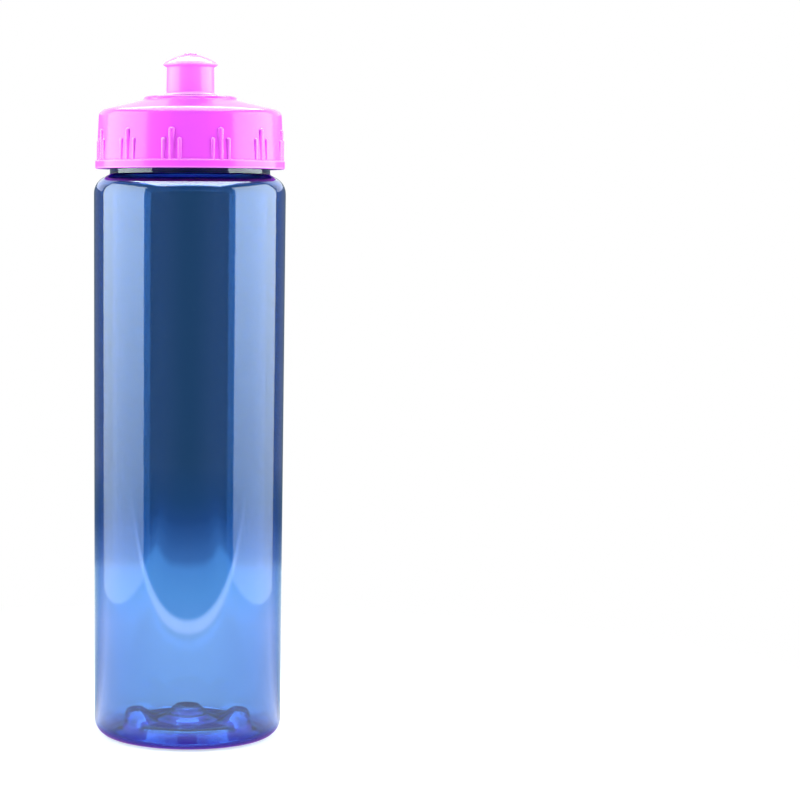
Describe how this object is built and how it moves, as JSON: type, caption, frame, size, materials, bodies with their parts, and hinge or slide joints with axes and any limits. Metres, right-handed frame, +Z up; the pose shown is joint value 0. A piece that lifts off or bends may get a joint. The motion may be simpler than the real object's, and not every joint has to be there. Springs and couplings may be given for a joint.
{
  "type": "sports squeeze bottle",
  "caption": "Clear blue sports bottle with a wide ribbed screw cap and a push-pull drinking spout; the cap unscrews and the spout slides up to open.",
  "frame": {"origin": "centre of the circular foot, on the surface that the bottle stands on", "axes": "+Z up along the bottle's axis from foot to spout; -Y is the front; +X is to the right when the bottle is seen from the front"},
  "size_m": [0.0706, 0.0706, 0.2525],
  "materials": {
    "bottle_body": "clear tinted gloss",
    "lid_liner": "soft matte",
    "screw_cap": "smooth moulded gloss",
    "pull_spout": "smooth moulded gloss"
  },
  "bodies": {
    "bottle": {"bottle_body": "bottle_body"},
    "liner": {"lid_liner": "lid_liner"},
    "cap": {"screw_cap": "screw_cap"},
    "spout": {"pull_spout": "pull_spout"}
  },
  "joints": [
    {"name": "cap_rise", "type": "slide", "parent": "bottle", "child": "liner", "axis": [0, 0, 1], "range_m": [0, 0.024]},
    {"name": "cap_turn", "type": "hinge", "parent": "liner", "child": "cap", "pos_m": [0, 0, 0.22], "axis": [0, 0, 1], "range_deg": [0, 1440]},
    {"name": "spout_pull", "type": "slide", "parent": "cap", "child": "spout", "axis": [0, 0, 1], "range_m": [0, 0.007]}
  ],
  "couplings": [
    {"joint": "cap_rise", "follows": "cap_turn", "m_per_rad": 0.00095492}
  ]
}
